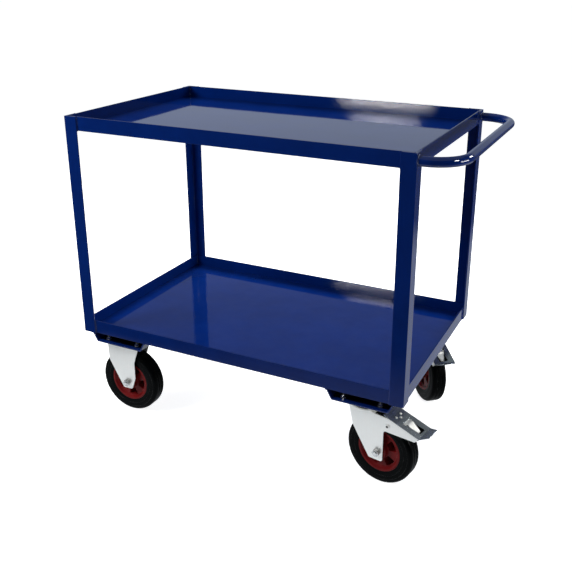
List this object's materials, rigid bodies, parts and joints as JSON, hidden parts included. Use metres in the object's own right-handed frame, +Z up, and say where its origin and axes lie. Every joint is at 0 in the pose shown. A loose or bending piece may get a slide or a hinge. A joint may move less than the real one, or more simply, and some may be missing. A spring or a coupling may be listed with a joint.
{
  "type": "two-tier shelf trolley",
  "caption": "Angle-iron shelf trolley with two flat steel trays, a tube push handle, fixed castors at one end and braked swivel castors at the handle end.",
  "frame": {"origin": "floor level under the middle of the overall plan box", "axes": "+X along the length towards the push handle, +Y to the back, +Z up"},
  "size_m": [1.1334, 0.63, 0.928],
  "materials": {
    "blue_paint": "gloss deep blue powder coat",
    "zinc_plate": "bright zinc plate",
    "black_rubber": "plain black rubber",
    "red_plastic": "moulded dark red plastic",
    "brake_block": "matt black",
    "bearing_steel": "bright ground steel"
  },
  "bodies": {
    "frame": {"leg_front_left": "blue_paint", "leg_front_right": "blue_paint", "leg_back_left": "blue_paint", "leg_back_right": "blue_paint", "upper_rail_front": "blue_paint", "upper_rail_back": "blue_paint", "upper_rail_left": "blue_paint", "upper_rail_right": "blue_paint", "lower_rail_front": "blue_paint", "lower_rail_back": "blue_paint", "lower_rail_left": "blue_paint", "lower_rail_right": "blue_paint", "upper_deck": "blue_paint", "lower_deck": "blue_paint", "castor_channel_left": "blue_paint", "castor_channel_right": "blue_paint", "push_handle": "blue_paint", "castor_bolts": "zinc_plate", "castor_nuts": "zinc_plate", "castor_washers": "zinc_plate", "fixed_bracket_front": "zinc_plate", "fixed_bracket_back": "zinc_plate", "fixed_axle_bolts": "zinc_plate", "fixed_axle_nuts": "zinc_plate", "fixed_axle_sleeves": "zinc_plate", "swivel_plate_front": "zinc_plate", "swivel_plate_back": "zinc_plate", "kingpins": "zinc_plate", "kingpin_washers": "zinc_plate", "kingpin_nuts": "zinc_plate", "swivel_balls": "bearing_steel"},
    "wheel_front_left": {"tyre_front_left": "black_rubber", "wheel_centre_front_left": "red_plastic", "roller_bearing_front_left": "bearing_steel"},
    "wheel_back_left": {"tyre_back_left": "black_rubber", "wheel_centre_back_left": "red_plastic", "roller_bearing_back_left": "bearing_steel"},
    "wheel_front_right": {"tyre_front_right": "black_rubber", "wheel_centre_front_right": "red_plastic", "roller_bearing_front_right": "bearing_steel"},
    "wheel_back_right": {"tyre_back_right": "black_rubber", "wheel_centre_back_right": "red_plastic", "roller_bearing_back_right": "bearing_steel"},
    "swivel_front_right": {"swivel_fork_front": "zinc_plate", "swivel_axle_bolt_front": "zinc_plate", "swivel_axle_nut_front": "zinc_plate", "swivel_axle_sleeve_front": "zinc_plate"},
    "pedal_front_right": {"brake_pedal_front": "zinc_plate", "brake_leaf_front": "zinc_plate", "brake_shoe_front": "brake_block", "brake_rivets_front": "zinc_plate"},
    "swivel_back_right": {"swivel_fork_back": "zinc_plate", "swivel_axle_bolt_back": "zinc_plate", "swivel_axle_nut_back": "zinc_plate", "swivel_axle_sleeve_back": "zinc_plate"},
    "pedal_back_right": {"brake_pedal_back": "zinc_plate", "brake_leaf_back": "zinc_plate", "brake_shoe_back": "brake_block", "brake_rivets_back": "zinc_plate"}
  },
  "joints": [
    {"name": "wheel_front_left_spin", "type": "hinge", "parent": "frame", "child": "wheel_front_left", "pos_m": [-0.44475, -0.25, 0.1], "axis": [0, 1, 0], "continuous": true},
    {"name": "wheel_back_left_spin", "type": "hinge", "parent": "frame", "child": "wheel_back_left", "pos_m": [-0.44475, 0.25, 0.1], "axis": [0, 1, 0], "continuous": true},
    {"name": "castor_front_right_swivel", "type": "hinge", "parent": "frame", "child": "swivel_front_right", "pos_m": [0.33525, -0.25, 0.214], "axis": [0, 0, 1], "continuous": true},
    {"name": "wheel_front_right_spin", "type": "hinge", "parent": "swivel_front_right", "child": "wheel_front_right", "pos_m": [0.38843, -0.25938, 0.1], "axis": [0.1736, 0.9848, 0], "continuous": true},
    {"name": "brake_front_right_pedal", "type": "hinge", "parent": "swivel_front_right", "child": "pedal_front_right", "pos_m": [0.4165, -0.26433, 0.189], "axis": [-0.1736, -0.9848, 0], "range_deg": [0, 12]},
    {"name": "castor_back_right_swivel", "type": "hinge", "parent": "frame", "child": "swivel_back_right", "pos_m": [0.33525, 0.25, 0.214], "axis": [0, 0, 1], "continuous": true},
    {"name": "wheel_back_right_spin", "type": "hinge", "parent": "swivel_back_right", "child": "wheel_back_right", "pos_m": [0.36996, 0.20863, 0.1], "axis": [0.766, 0.6428, 0], "continuous": true},
    {"name": "brake_back_right_pedal", "type": "hinge", "parent": "swivel_back_right", "child": "pedal_back_right", "pos_m": [0.38828, 0.1868, 0.189], "axis": [-0.766, -0.6428, 0], "range_deg": [0, 12]}
  ]
}
